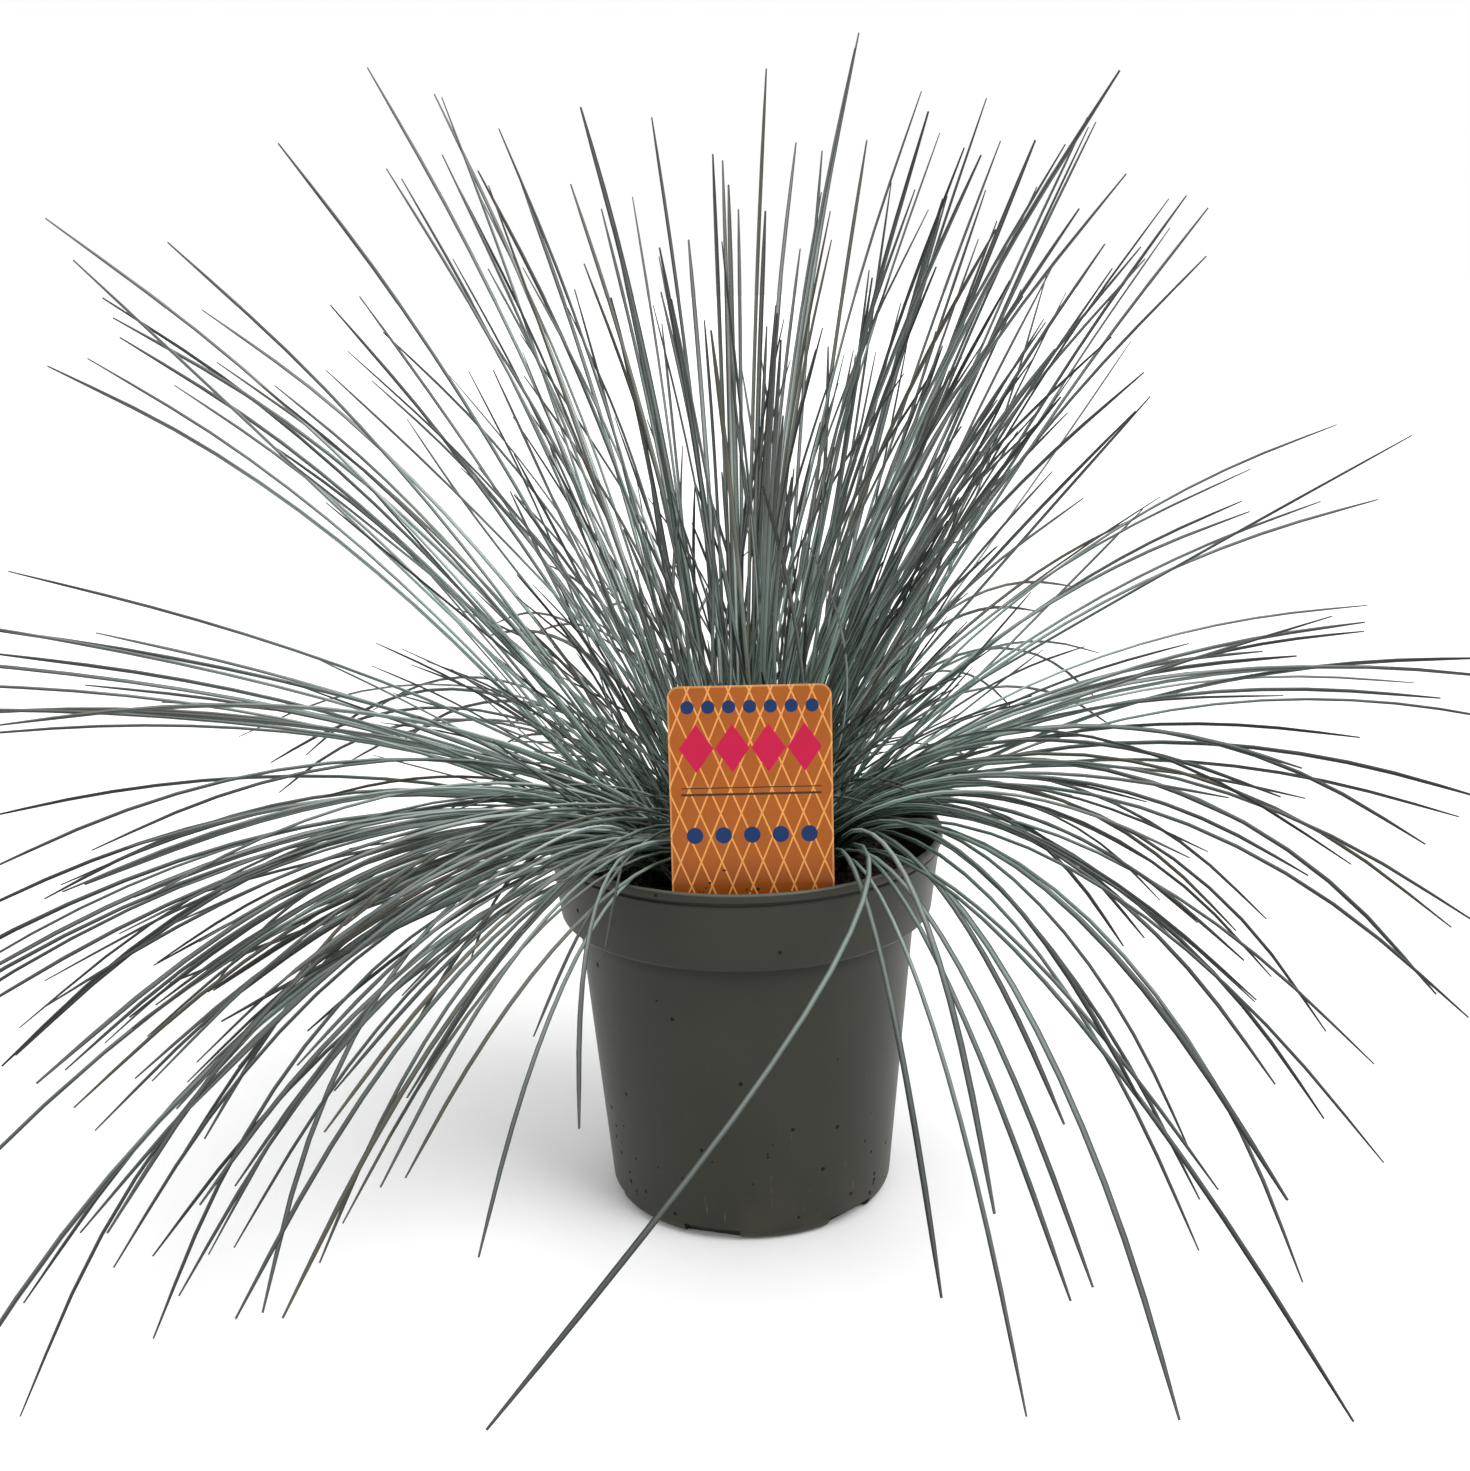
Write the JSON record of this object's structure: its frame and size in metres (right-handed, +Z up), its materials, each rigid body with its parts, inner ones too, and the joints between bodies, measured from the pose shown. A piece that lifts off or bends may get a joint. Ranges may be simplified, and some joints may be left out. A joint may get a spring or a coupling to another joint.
{
  "type": "potted blue fescue clump",
  "caption": "Fountain of blue-grey needle grass growing from potting soil in a tapered nursery pot with a wide collar, with an upright plant label inside the front rim.",
  "frame": {"origin": "middle of the pot's underside, in the plane that the pot stands on", "axes": "+Z up, -Y towards the front with the plant label, +X to the right seen from the front"},
  "size_m": [0.5445, 0.4916, 0.3803],
  "materials": {
    "pot_plastic": "satin moulded plastic, lightly scratched, with soil specks",
    "label_plastic": null,
    "potting_soil": "rough and crumbly, with coarse dark crumbs",
    "fescue_leaf": "dull with a soft sheen, finely ribbed, lighter along the middle"
  },
  "bodies": {
    "root": {"pot": "pot_plastic", "plant_label": "label_plastic", "soil": "potting_soil", "shoot_01": "fescue_leaf", "shoot_02": "fescue_leaf", "shoot_03": "fescue_leaf", "shoot_04": "fescue_leaf", "shoot_05": "fescue_leaf", "shoot_06": "fescue_leaf", "shoot_07": "fescue_leaf", "shoot_08": "fescue_leaf", "shoot_09": "fescue_leaf", "shoot_10": "fescue_leaf", "shoot_11": "fescue_leaf", "shoot_12": "fescue_leaf", "shoot_13": "fescue_leaf", "shoot_14": "fescue_leaf", "shoot_15": "fescue_leaf", "shoot_16": "fescue_leaf", "shoot_17": "fescue_leaf", "shoot_18": "fescue_leaf", "shoot_19": "fescue_leaf", "shoot_20": "fescue_leaf", "shoot_21": "fescue_leaf", "shoot_22": "fescue_leaf", "shoot_23": "fescue_leaf", "shoot_24": "fescue_leaf", "shoot_25": "fescue_leaf", "shoot_26": "fescue_leaf", "shoot_27": "fescue_leaf", "shoot_28": "fescue_leaf", "shoot_29": "fescue_leaf", "shoot_30": "fescue_leaf", "shoot_31": "fescue_leaf", "shoot_32": "fescue_leaf", "shoot_33": "fescue_leaf", "shoot_34": "fescue_leaf", "shoot_35": "fescue_leaf", "shoot_36": "fescue_leaf", "shoot_37": "fescue_leaf", "shoot_38": "fescue_leaf", "shoot_39": "fescue_leaf", "shoot_40": "fescue_leaf", "shoot_41": "fescue_leaf", "shoot_42": "fescue_leaf", "shoot_43": "fescue_leaf", "shoot_44": "fescue_leaf", "shoot_45": "fescue_leaf", "shoot_46": "fescue_leaf", "shoot_47": "fescue_leaf", "shoot_48": "fescue_leaf", "shoot_49": "fescue_leaf", "shoot_50": "fescue_leaf", "shoot_51": "fescue_leaf", "shoot_52": "fescue_leaf", "shoot_53": "fescue_leaf", "shoot_54": "fescue_leaf", "shoot_55": "fescue_leaf"}
  },
  "joints": []
}
